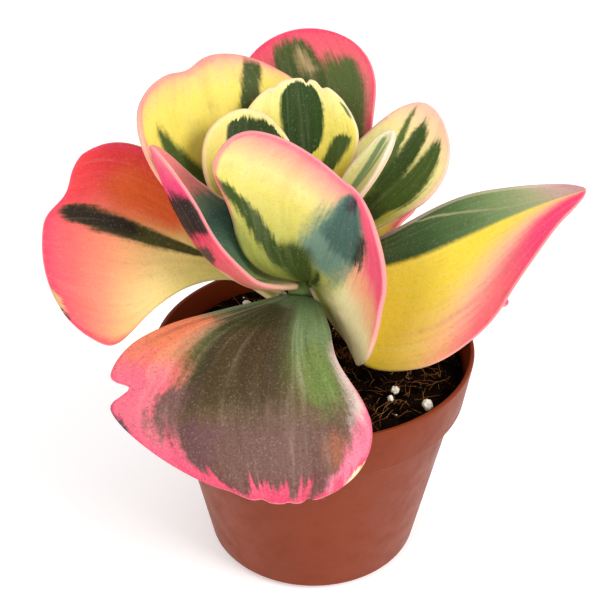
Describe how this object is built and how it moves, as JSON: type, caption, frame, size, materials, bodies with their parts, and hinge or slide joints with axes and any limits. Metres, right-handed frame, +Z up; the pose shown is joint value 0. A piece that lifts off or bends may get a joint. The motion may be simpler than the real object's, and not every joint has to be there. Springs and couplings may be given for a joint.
{
  "type": "potted kalanchoe",
  "caption": "Young paddle-leaf kalanchoe with broad pink-edged variegated leaves, growing in peat in a small tapered round plastic nursery pot.",
  "frame": {"origin": "centre of the pot's round foot, on the surface that it stands on", "axes": "+Z up; -Y towards the side that the large drooping leaf hangs over, so +X is on the pointed leaf's side"},
  "size_m": [0.1314, 0.098, 0.1333],
  "materials": {
    "pot_plastic": "satin terracotta-coloured plastic",
    "peat": "moist dark peat with coir fibres",
    "stem_bark": "matt green stem browning at its foot",
    "leaf_left": "succulent leaf, variegated, waxy satin",
    "leaf_left_folded": "succulent leaf, variegated, waxy satin",
    "leaf_upper_left": "succulent leaf, variegated, waxy satin",
    "leaf_back_tall": "succulent leaf, variegated, waxy satin",
    "leaf_centre_back": "succulent leaf, variegated, waxy satin",
    "leaf_inner_left": "succulent leaf, variegated, waxy satin",
    "leaf_front_flared": "succulent leaf, variegated, waxy satin",
    "leaf_inner_right": "succulent leaf, variegated, waxy satin",
    "leaf_right_upper": "succulent leaf, variegated, waxy satin",
    "leaf_right_pointed": "succulent leaf, variegated, waxy satin",
    "leaf_front_drooping": "succulent leaf, variegated, waxy satin",
    "leaf_behind_right": "succulent leaf, variegated, waxy satin",
    "leaf_behind_left": "succulent leaf, variegated, waxy satin",
    "leaf_behind_back": "succulent leaf, variegated, waxy satin",
    "dried_scale": "dry brown papery leaf scale",
    "perlite": "matt off-white porous grain"
  },
  "bodies": {
    "root": {"pot": "pot_plastic", "soil": "peat", "stem": "stem_bark", "leaf_left": "leaf_left", "leaf_left_folded": "leaf_left_folded", "leaf_upper_left": "leaf_upper_left", "leaf_back_tall": "leaf_back_tall", "leaf_centre_back": "leaf_centre_back", "leaf_inner_left": "leaf_inner_left", "leaf_front_flared": "leaf_front_flared", "leaf_inner_right": "leaf_inner_right", "leaf_right_upper": "leaf_right_upper", "leaf_right_pointed": "leaf_right_pointed", "leaf_front_drooping": "leaf_front_drooping", "leaf_behind_right": "leaf_behind_right", "leaf_behind_left": "leaf_behind_left", "leaf_behind_back": "leaf_behind_back", "dried_scale": "dried_scale", "perlite_large": "perlite", "perlite_middle": "perlite", "perlite_small": "perlite", "perlite_far": "perlite"}
  },
  "joints": []
}
